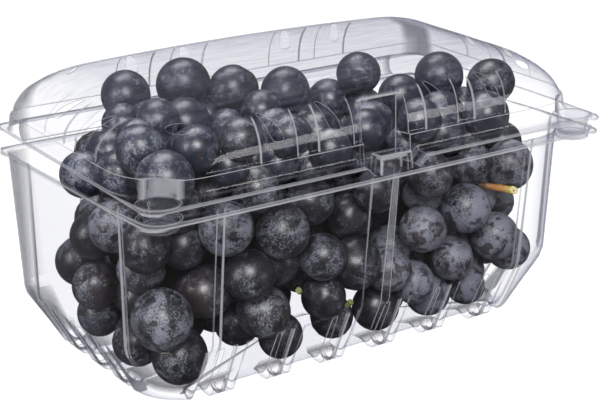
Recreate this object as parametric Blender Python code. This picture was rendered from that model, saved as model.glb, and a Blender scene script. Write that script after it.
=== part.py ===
# A clear hinged punnet of dark grapes: fluted tray, domed lid, the heap inside and one cut stalk.
# Origin at the bottom centre, +X along the long front edge, -Y to the front, +Z up.
import math
import random

import bmesh
import bpy
import numpy as np
from mathutils import Matrix, Vector

mm = 0.001

# Outer sizes of the punnet. Y counts from the middle of the flanges until everything is centred.
flange_half_x = 95 * mm
flange_half_y = 56 * mm
flange_corner = 5.2 * mm
flange_back_corner = 3 * mm
tray_flange_z = 73.1 * mm
lid_flange_z = 78 * mm
lid_top_z = 100.8 * mm
lid_tilt = 0.035
sheet = 0.6 * mm

# The tray's wall under its flange, in plan
tray_half_x = 93.8 * mm
tray_half_y = 49 * mm
tray_front_radius = 28.6 * mm
tray_back_radius = 2.5 * mm

# Tray: the ledge between the upper wall and the fluted foot. An inset says how far the outline
# comes in at the ends, how far it comes in front and back, and how far it then shifts back.
ledge_z = 21 * mm
ledge_inset = Vector((0.8, 3.4, 2)) * mm
foot_inset = Vector((3, 5.4, 2.4)) * mm
base_inset = Vector((15.5, 11.5, 6.5)) * mm
floor_z = 2.2 * mm
rib_proud = 1.7 * mm
rib_half = 4.4 * mm
rib_flank = 1.2 * mm
rib_centres_x = [-57.2 * mm, -34.3 * mm, -11.4 * mm, 11.4 * mm, 34.3 * mm, 57.2 * mm]
rib_centres_y = [-12 * mm, 5 * mm, 22 * mm]
groove_half = 4.6 * mm
groove_depth = 1.3 * mm
corner_groove_x = 65 * mm

# Lid: ledge, shoulder and the recess in the middle of the front
lid_half_x = 94 * mm
lid_half_y = 50 * mm
lid_front_radius = 23.5 * mm
lid_back_radius = 6 * mm
lid_ledge_z = 83.8 * mm
shoulder_z = 86.5 * mm
shoulder_inset = 1.6 * mm
top_inset = Vector((26, 12)) * mm
top_corner_grow = 12 * mm
top_crown = 1.6 * mm
recess_half = 8.8 * mm
recess_depth = 3.6 * mm
recess_flank = 1.2 * mm
flange_dip_z = tray_flange_z + 2 * sheet + 0.4 * mm
vent_centres_x = [-46.2 * mm, -23.6 * mm, 21.3 * mm, 44.2 * mm]
vent_centres_y = [-11 * mm, 11 * mm]
vent_length = 11 * mm
vent_width = 6.2 * mm
vent_lean = 3.4 * mm
vent_turn = math.radians(52)
corner_vent = Vector((70.5, 35, 0)) * mm

# Snap buttons and the hinge
button_centre = Vector((86.7, -47.6, 0)) * mm
button_radius = 5.4 * mm
button_draft = 0.5 * mm
button_clear = 0.45 * mm
pocket_depth = 2.6 * mm
snap_half_x = 6 * mm
snap_half_y = 2.4 * mm
snap_y = -51.9 * mm
snap_height = 6.2 * mm
lid_back_z = lid_flange_z + lid_tilt * 2 * flange_half_y
back_reach = 2.95 * mm
hinge_y = flange_half_y + back_reach + 0.35 * mm
hinge_z = (tray_flange_z + lid_back_z) / 2
hinge_half = 84 * mm
hinge_gap = 0.35 * mm

# Grapes that show through the front, the left side and the lid: x, y, z, diameter in mm
seen_grapes = [
    (-51, 38, 89, 18), (-30.5, 32, 91, 19.5), (-16, 21, 89, 18), (-38, 18.5, 81, 18),
    (1.5, 13.5, 87, 18.5), (25.5, 1, 93, 16), (59.5, -4, 88, 18), (76.5, -14, 85, 18),
    (56, -35, 80, 17.5), (18, 9.5, 82, 16), (46, 2.5, 81, 16.5), (-77, -19, 87, 16),
    (-62, -29.5, 87, 15.5), (-48.5, -34.5, 89, 14), (-30.5, -36.5, 87.5, 14.5),
    (-15.5, -38.5, 80.5, 14.5), (2, -34.5, 83.5, 15), (24.5, -36, 83.5, 15.5), (-83.5, 9.5, 72.5, 16),
    (-82.5, 5.5, 52, 17), (-80, 23, 36.5, 17.5), (-82.5, 7, 33, 16.5), (-76.5, 17.5, 17.5, 16),
    (-77, -35, 80.5, 19), (-81, -27, 56.5, 17), (-76.5, -28, 30.5, 21), (-67.5, -23, 13.5, 19.5),
    (-57, -23, 34.5, 19), (-56, -36.5, 60.5, 18), (-33.5, -36, 54.5, 18.5), (-46.5, -35, 41.5, 17.5),
    (-39, -31.5, 25.5, 18.5), (-16, -34, 41, 16.5), (-14.5, -32.5, 25.5, 16), (-28.5, -26, 12, 16),
    (13, -33.5, 30, 17), (12.5, -27, 13.5, 17.5), (27, -35.5, 42.5, 17), (47, -35.5, 46.5, 18),
    (42.5, -33.5, 27.5, 16), (63.5, -33, 31.5, 18), (76.5, -26.5, 22, 17), (68, -35, 59, 18.5),
    (37.5, -26, 12, 16.5), (55, -27, 12, 15), (2.5, -24.5, 49.5, 17), (7, -34.5, 61, 16),
    (30, -35.5, 62.5, 16.5), (-18.5, -30.5, 61, 16.5), (-41, -31.5, 69.5, 16),
]
# Free grapes keep off these lines of sight, where light shows through the heap
eye = Vector((-304.2, -442.6, 228.3)) * mm
light_spots = [Vector(spot) * mm for spot in (
    (-70.5, -44.1, 28.9),
    (-59.1, -43.3, 21.8),
    (-34.8, -44.7, 34.1),
    (-11.3, -43.8, 26),
)]
# The heap's upper outline from the same point, as x and z where its sight lines cross y = 0
skyline = [(x * mm, z * mm) for x, z in (
    (-97, 77), (-89, 88), (-81, 98), (-62, 98), (-52, 104), (-24, 98), (-17, 91), (-1, 92), (10, 87),
    (19, 94), (32, 91), (40, 81), (49, 83), (56, 88), (71, 89), (94, 83), (105, 73), (111, 59),
)]
typical_grape = 17.4 * mm
grape_spread = 1.4 * mm
heap_floor_z = 3.6 * mm
heap_top_z = 86 * mm
heap_left = -84 * mm
heap_right = 83 * mm
squeeze_rounds = 90
ball_size = 1.03
core_swell = 3.6 * mm
core_depth = 1.2 * mm
core_grain = 4 * mm
core_share = 0.05
heap_share = 0.72
hidden_depth = 5 * mm

stalk_start = Vector((49.0, -40.0, 57.0)) * mm
stalk_end = Vector((65.0, -43.0, 51.6)) * mm
stalk_radius = 1.15 * mm


def clear_scene():
    for item in list(bpy.data.objects):
        bpy.data.objects.remove(item, do_unlink=True)


def plain_material(name, colour, roughness, alpha=1.0):
    material = bpy.data.materials.new(name)
    material.use_nodes = True
    shader = material.node_tree.nodes["Principled BSDF"]
    shader.inputs["Base Color"].default_value = (*colour, 1)
    shader.inputs["Roughness"].default_value = roughness
    shader.inputs["Metallic"].default_value = 0
    shader.inputs["Alpha"].default_value = alpha
    return material


def object_from(name, mesh_data, material=None):
    mesh = bpy.data.meshes.new(name)
    mesh_data.to_mesh(mesh)
    mesh_data.free()
    made = bpy.data.objects.new(name, mesh)
    bpy.context.scene.collection.objects.link(made)
    if material is not None:
        mesh.materials.append(material)
    return made


def apply_modifiers(item):
    """Puts the modifiers' result in the object's own mesh."""
    graph = bpy.context.evaluated_depsgraph_get()
    graph.update()
    mesh = bpy.data.meshes.new_from_object(item.evaluated_get(graph))
    item.modifiers.clear()
    item.data = mesh


def combine(item, other, operation):
    modifier = item.modifiers.new(operation.title(), "BOOLEAN")
    modifier.operation = operation
    modifier.solver = "EXACT"
    modifier.object = other
    apply_modifiers(item)
    bpy.data.objects.remove(other, do_unlink=True)


# Outlines in plan. A ring is a rounded rectangle read at the same stations at every height.


def corner_path(half_x, half_y, radius, start_x, end_y):
    """Reader of the way round the +X +Y corner, from x = start_x on the long side to y = end_y."""
    straight_x = half_x - radius
    straight_y = half_y - radius
    first = max(straight_x - start_x, 0)
    last = max(straight_y - end_y, 0)
    angle_start = math.asin(min(max((start_x - straight_x) / radius, 0), 1))
    angle_end = math.pi / 2 - math.asin(min(max((end_y - straight_y) / radius, 0), 1))
    arc = radius * (angle_end - angle_start)
    total = first + arc + last

    def read(share):
        way = share * total
        if way < first:
            return start_x + way, half_y
        if way > first + arc:
            return half_x, straight_y - (way - first - arc)
        angle = angle_start + (way - first) / radius
        return straight_x + radius * math.sin(angle), straight_y + radius * math.cos(angle)

    return read


def on_side(half_long, half_across, radius, along):
    """How far out the side lies at this place along it, also where it has begun to turn."""
    past = min(max(abs(along) - (half_long - radius), 0), radius)
    return half_across - radius + math.sqrt(radius**2 - past**2)


def ring(half_x, half_y, front, back, stations):
    """Points of one outline, anticlockwise seen from above, from the left end of the front."""
    front_x, back_x, side_y, front_steps, back_steps = stations
    points = []
    for x in front_x:
        points.append((x, -on_side(half_x, half_y, front, x)))
    read = corner_path(half_x, half_y, front, front_x[-1], -side_y[0])
    points += [(x, -y) for x, y in (read(k / front_steps) for k in range(1, front_steps))]
    for y in side_y:
        points.append((on_side(half_y, half_x, front if y < 0 else back, y), y))
    read = corner_path(half_x, half_y, back, back_x[-1], side_y[-1])
    points += [read(k / back_steps) for k in range(back_steps - 1, 0, -1)]
    for x in reversed(back_x):
        points.append((x, on_side(half_x, half_y, back, x)))
    points += [(-x, y) for x, y in (read(k / back_steps) for k in range(1, back_steps))]
    for y in reversed(side_y):
        points.append((-on_side(half_y, half_x, front if y < 0 else back, y), y))
    read = corner_path(half_x, half_y, front, front_x[-1], -side_y[0])
    points += [(-x, -y) for x, y in (read(k / front_steps) for k in range(front_steps - 1, 0, -1))]
    return points


def flange_ring(stations):
    return ring(flange_half_x, flange_half_y, flange_corner, flange_back_corner, stations)


def side_of(x, y):
    """The direction straight out of the side that a wall point is on, or None round a corner."""
    if abs(y) >= tray_half_y * 0.45 and abs(x) <= corner_groove_x + 3 * mm:
        return Vector((0, math.copysign(1, y)))
    if abs(x) >= tray_half_x * 0.75 and -18 * mm <= y <= 28 * mm:
        return Vector((math.copysign(1, x), 0))
    return None


def share_in(along, centre, half, flank):
    """1 inside a rib or groove, 0 outside it, and part way on its flanks."""
    return min(max((half + flank - abs(along - centre)) / flank, 0), 1)


def rib_share(x, y):
    way = side_of(x, y)
    if way is None:
        return 1
    if way.y:
        return max(share_in(x, c, rib_half, rib_flank) for c in rib_centres_x)
    return max(share_in(y, c, rib_half, rib_flank) for c in rib_centres_y)


def groove_share(x, y):
    """The grooves of the upper wall: one in the middle of each long side, one near each end."""
    way = side_of(x, y)
    if way is None or not way.y:
        return 0
    middle = share_in(x, 0, groove_half, rib_flank)
    ends = share_in(abs(x), corner_groove_x, 1.2 * mm, rib_flank)
    return max(middle, ends)


def edge_stations(centres, half, flank):
    found = []
    for centre in centres:
        found += [centre - half - flank, centre - half, centre + half, centre + half + flank]
    return found


def loft(rings):
    """A bmesh skin through rings of equally many points, closed across the last one."""
    skin = bmesh.new()
    rows = [[skin.verts.new(point) for point in points] for points in rings]
    count = len(rows[0])
    for low, high in zip(rows, rows[1:]):
        for k in range(count):
            skin.faces.new((low[k], low[(k + 1) % count], high[(k + 1) % count], high[k]))
    skin.faces.new(rows[-1])
    return skin


def thicken(name, skin, material):
    """A wall as thick as the sheet behind the skin."""
    bmesh.ops.triangulate(skin, faces=[face for face in skin.faces if len(face.verts) > 4])
    shell = object_from(name, skin, material)
    modifier = shell.modifiers.new("Wall", "SOLIDIFY")
    modifier.thickness = sheet
    modifier.offset = -1
    modifier.use_quality_normals = True
    apply_modifiers(shell)
    return shell


def turned(name, profile, centre, segments=20):
    """A solid turned about a vertical line through centre, from (radius, z) pairs, bottom to top."""
    body = bmesh.new()
    rows = []
    for radius, z in profile:
        row = []
        for k in range(segments):
            angle = 2 * math.pi * k / segments
            x = centre.x + radius * math.cos(angle)
            y = centre.y + radius * math.sin(angle)
            row.append(body.verts.new((x, y, z)))
        rows.append(row)
    for low, high in zip(rows, rows[1:]):
        for k in range(segments):
            body.faces.new((low[k], low[(k + 1) % segments], high[(k + 1) % segments], high[k]))
    body.faces.new(list(reversed(rows[0])))
    body.faces.new(rows[-1])
    return object_from(name, body)


def block(name, half_x, half_y, low_z, high_z, draft):
    """A block with rounded upright edges at the snap, narrower at the top by its draft."""
    body = bmesh.new()
    bmesh.ops.create_cube(body, size=2)
    for vert in body.verts:
        pull = draft if vert.co.z > 0 else 0
        vert.co.x *= half_x - pull
        vert.co.y = snap_y + vert.co.y * (half_y - pull)
        vert.co.z = high_z if vert.co.z > 0 else low_z
    bmesh.ops.bevel(
        body,
        geom=[edge for edge in body.edges if abs(edge.verts[0].co.z - edge.verts[1].co.z) > 1 * mm],
        offset=1.2 * mm,
        segments=2,
        affect="EDGES",
    )
    bmesh.ops.recalc_face_normals(body, faces=body.faces)
    return object_from(name, body)


def hinge_web(start_z, turn):
    """The strip from the back edge of a flange to just short of the hinge line, above it (turn 1) or
    below it (-1). Both strips stop inside the line, so that they stay clear however far the lid opens."""
    near_axis = hinge_z + turn * hinge_gap
    web_end = flange_half_y + back_reach
    outline = [
        (flange_half_y - 1.5 * mm, start_z - turn * 0.15 * mm),
        (flange_half_y - 1.5 * mm, start_z - turn * (sheet - 0.15 * mm)),
        (flange_half_y + 1.3 * mm, start_z - turn * (sheet - 0.15 * mm)),
        (web_end - 0.75 * mm, near_axis),
        (web_end, near_axis),
        (flange_half_y + 1.9 * mm, start_z + turn * 0.15 * mm),
    ]
    strip = bmesh.new()
    ends = [[strip.verts.new((x, y, z)) for y, z in outline] for x in (-hinge_half, hinge_half)]
    count = len(outline)
    strip.faces.new(ends[0])
    strip.faces.new(list(reversed(ends[1])))
    for k in range(count):
        strip.faces.new((ends[0][k], ends[1][k], ends[1][(k + 1) % count], ends[0][(k + 1) % count]))
    bmesh.ops.recalc_face_normals(strip, faces=strip.faces)
    return object_from("web", strip)


# Tray


def tray_outline(inset, stations):
    """The tray's wall in plan, set in and not yet shifted back."""
    return ring(
        tray_half_x - inset.x,
        tray_half_y - inset.y,
        tray_front_radius - inset.y,
        tray_back_radius + inset.y * 0.4,
        stations,
    )


def make_tray(material):
    front_x = sorted(
        set(edge_stations(rib_centres_x, rib_half, rib_flank))
        | {-groove_half, groove_half}
        | {side * (corner_groove_x + step) for side in (-1, 1) for step in (-1.2 * mm, 1.2 * mm, 2.4 * mm)}
    )
    side_y = edge_stations(rib_centres_y, rib_half, rib_flank)
    stations = (front_x, front_x, side_y, 7, 5)

    def level(inset, z, rib_out=0.0, rib_z=None, groove=0.0):
        points = []
        for x, y in tray_outline(inset, stations):
            place = Vector((x, y + inset.z, z))
            way = side_of(x, y) or Vector((0, 0))
            share = rib_share(x, y)
            if rib_out:
                out = way if way.length else Vector((x, y)).normalized()
                place.xy += out * rib_out * share
            if rib_z is not None:
                place.z += (rib_z - z) * share
            if groove:
                place.xy -= way * groove * groove_share(x, y)
            points.append(place)
        return points

    def down(share):
        return foot_inset.lerp(base_inset, share)

    rings = [
        [Vector((x, y, tray_flange_z)) for x, y in flange_ring(stations)],
        level(Vector(), tray_flange_z, groove=groove_depth * 0.3),
        level(ledge_inset * 0.94, ledge_z + 2.6 * mm, groove=groove_depth),
        level(ledge_inset.lerp(foot_inset, 0.3), ledge_z, groove=groove_depth * 0.7),
        level(foot_inset, ledge_z - 0.4 * mm, rib_out=rib_proud * 0.6),
        level(down(0.68), 6.5 * mm, rib_out=rib_proud),
        level(down(0.93), floor_z + 0.9 * mm, rib_out=rib_proud * 1.2, rib_z=1.2 * mm),
        level(base_inset + Vector((1.2, 1.2, 0)) * mm, floor_z, rib_out=rib_proud, rib_z=0),
        level(base_inset + Vector((2.2, 3, 0)) * mm, floor_z, rib_z=0),
        level(base_inset + Vector((3, 4.6, 0)) * mm, floor_z),
    ]
    skin = loft(rings)
    bmesh.ops.reverse_faces(skin, faces=skin.faces)
    tray = thicken("tray", skin, material)
    low = tray_flange_z - pocket_depth
    inner = button_radius + button_clear
    outer = inner + sheet
    for side in (-1, 1):
        centre = Vector((side * button_centre.x, button_centre.y, 0))
        wall = [(outer - button_draft, low - sheet), (outer, tray_flange_z + 0.3 * mm)]
        hollow = [(inner - button_draft, low), (inner, tray_flange_z + 1 * mm)]
        combine(tray, turned("pocket_wall", wall, centre), "UNION")
        combine(tray, turned("pocket_hollow", hollow, centre), "DIFFERENCE")
    top = tray_flange_z + snap_height
    combine(tray, block("snap", snap_half_x, snap_half_y, tray_flange_z - 0.3 * mm, top, 0.3 * mm), "UNION")
    combine(tray, hinge_web(tray_flange_z, -1), "UNION")
    return tray


# Lid


def lid_rise(y):
    """The lid rests tilted: it lies higher towards the hinge."""
    return lid_tilt * (y + flange_half_y)


def recess_share(x, y):
    return share_in(x, 0, recess_half, recess_flank) if y < 0 else 0


def shoulder_at(turn):
    """Inset and height part way up the rounded shoulder, from turn 0 to a quarter turn."""
    start = Vector((shoulder_inset, shoulder_inset))
    inset = start.lerp(top_inset, 1 - math.cos(turn))
    return inset, shoulder_z + (lid_top_z - shoulder_z) * math.sin(turn)


def make_lid(material):
    flank = recess_half + recess_flank
    left = [x * mm for x in (-58, -48, -38, -28, -18)] + [-flank, -recess_half]
    front_x = left + [-x for x in reversed(left)]
    back_x = [x * mm for x in (-60, -40, -20, 0, 20, 40, 60)]
    side_y = [y * mm for y in (-18, -4, 10, 24)]
    stations = (front_x, back_x, side_y, 9, 6)

    def level(inset, z, recess=0.0, dip=0.0, grow=0.0, crown=0.0, notch=0.0):
        outline = ring(
            lid_half_x - inset.x,
            lid_half_y - inset.y,
            lid_front_radius + grow * top_corner_grow,
            max(lid_back_radius + grow * 3 * mm, 3 * mm),
            stations,
        )
        points = []
        for x, y in outline:
            share = recess_share(x, y)
            place = Vector((x, y + share * recess, z - share * dip))
            off = place.xy - Vector((math.copysign(button_centre.x, x), button_centre.y))
            if off.length < notch:
                place.xy += off.normalized() * (notch - off.length)
            place.z += lid_rise(place.y) - crown * top_crown * (x / (70 * mm)) ** 2
            points.append(place)
        return points

    dip = lid_flange_z - flange_dip_z
    rim = []
    for x, y in flange_ring(stations):
        rim.append(Vector((x, y, lid_flange_z + lid_rise(y) - dip * recess_share(x, y))))
    edge = Vector((1, 1)) * mm
    notch = button_radius + 0.9 * mm
    rings = [
        rim,
        level(edge * 0, lid_flange_z, recess_depth, dip, notch=notch),
        level(edge * 0.5, lid_ledge_z, recess_depth, notch=notch),
        level(edge * 1.3, lid_ledge_z + 0.4 * mm, recess_depth - 1 * mm, notch=notch - 0.6 * mm),
        level(edge * 1.6, shoulder_z, recess_depth - 1.6 * mm),
    ]
    steps = 5
    for k in range(1, steps + 1):
        turn = math.pi / 2 * k / steps
        inset, z = shoulder_at(turn)
        depth = (recess_depth - 1.6 * mm) * math.cos(turn)
        rings.append(level(inset, z, depth, grow=math.sin(turn), crown=math.sin(turn)))
    lid = thicken("lid", loft(rings), material)
    combine(lid, vent_cutters(), "DIFFERENCE")
    low = tray_flange_z - pocket_depth + sheet + 0.6 * mm
    inner = button_radius - sheet
    cup_top = lid_flange_z + lid_rise(button_centre.y)
    for side in (-1, 1):
        centre = Vector((side * button_centre.x, button_centre.y, 0))
        wall = [(button_radius - button_draft, low), (button_radius, cup_top - 0.2 * mm)]
        hollow = [(inner - button_draft, low + sheet), (inner, cup_top + 1 * mm)]
        combine(lid, turned("cup_wall", wall, centre), "UNION")
        combine(lid, turned("cup_hollow", hollow, centre), "DIFFERENCE")
    wall = sheet + 0.5 * mm
    top = tray_flange_z + snap_height + 0.5 * mm
    cover = block(
        "snap_cover", snap_half_x + wall, snap_half_y + wall, flange_dip_z - 0.5 * mm, top + sheet, 0.4 * mm
    )
    combine(lid, cover, "UNION")
    room = block(
        "snap_room", snap_half_x + 0.5 * mm, snap_half_y + 0.5 * mm, flange_dip_z - 3 * mm, top, 0.3 * mm
    )
    combine(lid, room, "DIFFERENCE")
    combine(lid, hinge_web(lid_back_z, 1), "UNION")
    return lid


def vent_cutters():
    """The slots in the lid's shoulder and an oval at each corner, as one cutter."""
    cutter = bmesh.new()

    def slot(place, out, length, width, lean):
        place = place + Vector((0, 0, lid_rise(place.y)))
        added = bmesh.ops.create_cone(
            cutter, cap_ends=True, segments=10, radius1=0.5, radius2=0.5, depth=9 * mm
        )["verts"]
        across = Vector((-out.y, out.x, 0)).normalized()
        normal = (out + Vector((0, 0, 1))).normalized()
        along = across.cross(normal)
        for vert in added:
            x, y, z = vert.co
            shift = Vector((lean * y, 0, 0))
            vert.co = place + across * x * width + along * y * length + normal * z + shift

    inset, z = shoulder_at(vent_turn)
    for x in vent_centres_x:
        for side in (-1, 1):
            place = Vector((x, side * (lid_half_y - inset.y), z))
            slot(place, Vector((0, side, 0)), vent_length, vent_width, vent_lean)
    for y in vent_centres_y:
        for side in (-1, 1):
            place = Vector((side * (lid_half_x - inset.x), y, z - top_crown))
            slot(place, Vector((side, 0, 0)), vent_length, vent_width, 0)
    for side_x in (-1, 1):
        for side_y in (-1, 1):
            place = Vector((side_x * corner_vent.x, side_y * corner_vent.y, z - top_crown / 2))
            slot(place, Vector((side_x, side_y, 0)).normalized(), vent_width, vent_length, 0)
    bmesh.ops.recalc_face_normals(cutter, faces=cutter.faces)
    return object_from("vent_cutter", cutter)


# Grapes


def inside_limits(z, radius):
    """How far a grape's centre may lie from the middle along X and Y at this height, and its shift."""
    room = Vector((1, 1, 0)) * (sheet + 1.5 * mm + radius)
    if z < tray_flange_z:
        share = (tray_flange_z - z) / (tray_flange_z - ledge_z)
        inset = ledge_inset * min(share, 1)
        below = max(ledge_z + radius * 0.5 - z, 0) / ledge_z
        inset += (base_inset - ledge_inset) * below
    else:
        rise = min(max(z + radius * 0.6 - shoulder_z, 0) / (lid_top_z - shoulder_z), 1)
        inset = Vector((1, 1, 0)) * 1.6 * mm + top_inset.to_3d() * 0.8 * (1 - math.sqrt(1 - rise**2))
    return Vector((tray_half_x - inset.x, tray_half_y - inset.y, inset.z)) - room


def keep_inside(place, radius):
    limit = inside_limits(place.z, radius)
    corner = (18 if place.y < 0 else 4) * mm
    place.x = min(max(place.x, -limit.x), limit.x)
    place.y = min(max(place.y - limit.z, -limit.y), limit.y)
    over = Vector((abs(place.x) - (limit.x - corner), abs(place.y) - (limit.y - corner)))
    if over.x > 0 and over.y > 0 and over.length > corner:
        scale = corner / over.length
        place.x = math.copysign(limit.x - corner + over.x * scale, place.x)
        place.y = math.copysign(limit.y - corner + over.y * scale, place.y)
    place.y += limit.z
    place.z = min(max(place.z, heap_floor_z + radius), heap_top_z)


def over_skyline(place, radius):
    """True where a grape would show above the heap's outline."""
    share = eye.y / (eye.y - place.y)
    crossing = eye + (place - eye) * share
    xs, zs = zip(*skyline)
    return crossing.z + radius * share > np.interp(crossing.x, xs, zs)


def left_bare(place, radius):
    """True in the corners that the heap leaves empty and where light shows through it."""
    across = place.x * 0.826 - place.y * 0.564
    if across - radius < heap_left or across + radius > heap_right:
        return True
    for spot in light_spots:
        way = (spot - eye).normalized()
        off = place - eye
        if (off - way * off.dot(way)).length < radius + 0.8 * mm:
            return True
    return False


def heap_of_grapes():
    """Centre and radius of every grape: the seen ones stay put and the rest settle round them."""
    draw = random.Random(5)
    fixed = [(Vector(row[:3]) * mm, row[3] * mm / 2) for row in seen_grapes]
    free = []
    pitch = typical_grape * 0.97
    layer = 0
    z = heap_floor_z + typical_grape / 2
    while z < heap_top_z:
        for row in range(-4, 5):
            for column in range(-7, 8):
                shift = (row + layer) % 2 / 2
                x = (column + shift) * pitch + draw.uniform(-2, 2) * mm
                y = row * pitch * 0.87 + draw.uniform(-2, 2) * mm
                place = Vector((x, y, z + draw.uniform(-2, 2) * mm))
                radius = (typical_grape + draw.gauss(0, 1) * grape_spread * 0.6) / 2
                held = place.copy()
                keep_inside(held, radius)
                if (held - place).length > 5 * mm or left_bare(held, radius):
                    continue
                if over_skyline(held, radius):
                    continue
                near = min((held - other).length - radius - size for other, size in fixed)
                if near > -4.5 * mm:
                    free.append([held, radius])
        z += pitch * 0.82
        layer += 1
    for _ in range(squeeze_rounds):
        for index, (place, radius) in enumerate(free):
            push = Vector((0, 0, -0.15 * mm))
            for other, size in fixed:
                gap = (place - other).length - radius - size
                if gap < 0:
                    push += (place - other).normalized() * -gap * 0.7
            for number, (other, size) in enumerate(free):
                gap = (place - other).length - radius - size
                if number != index and gap < 0:
                    push += (place - other).normalized() * -gap * 0.4
            place += push
            keep_inside(place, radius)
    settled = list(fixed)
    for place, radius in free:
        near = min((place - other).length - radius - size for other, size in settled)
        if near > -3.2 * mm and not left_bare(place, radius * 0.9):
            settled.append((place, radius))
    return settled


def shows(place, radius):
    """True for a grape that lies against a wall, the floor or the open top of the heap."""
    limit = inside_limits(place.z, radius)
    deep = min(limit.x - abs(place.x), limit.y - abs(place.y - limit.z), heap_top_z - place.z)
    return min(deep, place.z - heap_floor_z - radius) < hidden_depth


def add_ball(body, place, radius, round_one, draw):
    """One grape with few sides, turned its own way."""
    tip = Vector((draw.uniform(-1, 1), draw.uniform(-1, 1), 1)).normalized()
    turn = tip.to_track_quat("Z", "Y").to_matrix().to_4x4()
    matrix = Matrix.Translation(place) @ turn
    if round_one:
        bmesh.ops.create_uvsphere(body, u_segments=6, v_segments=4, radius=radius, matrix=matrix)
    else:
        bmesh.ops.create_icosphere(body, subdivisions=1, radius=radius, matrix=matrix)


def remesh(item, grain):
    modifier = item.modifiers.new("Remesh", "REMESH")
    modifier.mode = "VOXEL"
    modifier.voxel_size = grain
    apply_modifiers(item)


def decimate(item, ratio):
    modifier = item.modifiers.new("Decimate", "DECIMATE")
    modifier.ratio = ratio
    apply_modifiers(item)


def make_core(grapes, material):
    """The plain body under the grapes that show: the heap swollen until it closes, then shrunk."""
    body = bmesh.new()
    for place, radius in grapes:
        bmesh.ops.create_icosphere(
            body, subdivisions=2, radius=radius + core_swell, matrix=Matrix.Translation(place)
        )
    core = object_from("grapes", body)
    remesh(core, core_grain)
    shrink = core.modifiers.new("Shrink", "DISPLACE")
    shrink.strength = -core_swell - core_depth
    shrink.mid_level = 0
    apply_modifiers(core)
    remesh(core, core_grain)
    decimate(core, core_share)
    core.data.materials.clear()
    core.data.materials.append(material)
    return core


def make_heap(material):
    """The heap as one closed solid: the grapes that show, fused to a plain core."""
    draw = random.Random(9)
    grapes = heap_of_grapes()
    heap = make_core(grapes, material)
    pieces = bpy.data.collections.new("grape_pieces")
    bpy.context.scene.collection.children.link(pieces)
    for number, (place, radius) in enumerate(grapes):
        seen = number < len(seen_grapes)
        if not seen and not shows(place, radius):
            continue
        ball = bmesh.new()
        add_ball(ball, place, radius * ball_size, seen, draw)
        piece = object_from("grape_piece", ball)
        bpy.context.scene.collection.objects.unlink(piece)
        pieces.objects.link(piece)
    modifier = heap.modifiers.new("Fuse", "BOOLEAN")
    modifier.operation = "UNION"
    modifier.operand_type = "COLLECTION"
    modifier.collection = pieces
    modifier.solver = "MANIFOLD"
    apply_modifiers(heap)
    for piece in list(pieces.objects):
        bpy.data.objects.remove(piece, do_unlink=True)
    bpy.data.collections.remove(pieces)
    decimate(heap, heap_share)
    keep_outer_body(heap)
    return heap


def keep_outer_body(item):
    """Fills sealed hollows and drops loose scraps, by keeping the one outer skin."""
    body = bmesh.new()
    body.from_mesh(item.data)
    bmesh.ops.remove_doubles(body, verts=body.verts, dist=0.02 * mm)
    bmesh.ops.dissolve_degenerate(body, dist=0.01 * mm, edges=body.edges)
    left = set(body.faces)
    skins = []
    while left:
        seed = left.pop()
        skin = {seed}
        queue = [seed]
        while queue:
            face = queue.pop()
            for edge in face.edges:
                for other in edge.link_faces:
                    if other in left:
                        left.remove(other)
                        skin.add(other)
                        queue.append(other)
        skins.append(skin)
    largest = max(skins, key=len)
    loose = [face for skin in skins if skin is not largest for face in skin]
    bmesh.ops.delete(body, geom=loose, context="FACES")
    bmesh.ops.recalc_face_normals(body, faces=body.faces)
    body.to_mesh(item.data)
    body.free()


def make_stalk(material):
    way = stalk_end - stalk_start
    body = bmesh.new()
    thick = stalk_radius * 1.15
    thin = stalk_radius * 0.85
    bmesh.ops.create_cone(body, cap_ends=True, segments=10, radius1=thick, radius2=thin, depth=way.length)
    turn = way.to_track_quat("Z", "Y").to_matrix()
    for vert in body.verts:
        vert.co = (stalk_start + stalk_end) / 2 + turn @ vert.co
    return object_from("stalk", body, material)


clear_scene()
clear_sheet = plain_material("clear_sheet", (0.93, 0.93, 0.96), 0.05, alpha=0.25)
grape_skin = plain_material("grape_skin", (0.035, 0.03, 0.06), 0.4)
cut_wood = plain_material("cut_stalk", (0.42, 0.2, 0.05), 0.7)
made = [make_tray(clear_sheet), make_lid(clear_sheet.copy()), make_heap(grape_skin), make_stalk(cut_wood)]
for item in made:
    item.data.transform(Matrix.Translation((0, -back_reach / 2, 0)))
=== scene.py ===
import math
import random
from itertools import product

import bmesh
import bpy
import numpy as np
from mathutils import Matrix, Vector


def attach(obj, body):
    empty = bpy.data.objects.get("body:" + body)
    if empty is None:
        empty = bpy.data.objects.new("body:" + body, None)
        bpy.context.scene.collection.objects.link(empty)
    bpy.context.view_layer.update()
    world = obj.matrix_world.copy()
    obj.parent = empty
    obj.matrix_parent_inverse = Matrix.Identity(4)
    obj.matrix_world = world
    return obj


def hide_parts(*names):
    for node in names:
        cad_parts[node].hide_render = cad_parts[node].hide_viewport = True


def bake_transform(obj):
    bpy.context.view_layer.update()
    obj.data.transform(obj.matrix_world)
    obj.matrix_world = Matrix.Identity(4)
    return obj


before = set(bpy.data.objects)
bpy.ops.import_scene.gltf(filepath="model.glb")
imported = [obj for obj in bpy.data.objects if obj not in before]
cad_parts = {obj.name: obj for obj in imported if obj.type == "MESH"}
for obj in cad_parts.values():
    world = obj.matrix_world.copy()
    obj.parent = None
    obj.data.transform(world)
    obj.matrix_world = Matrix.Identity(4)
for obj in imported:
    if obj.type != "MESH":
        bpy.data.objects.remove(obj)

mm = 0.001
# Y counts from the middle of the flanges below, and this brings the middle of the whole to Y = 0
centreShift = -1.475 * mm
centring = Vector((0, centreShift, 0))
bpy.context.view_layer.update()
print("frame loaded")


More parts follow.
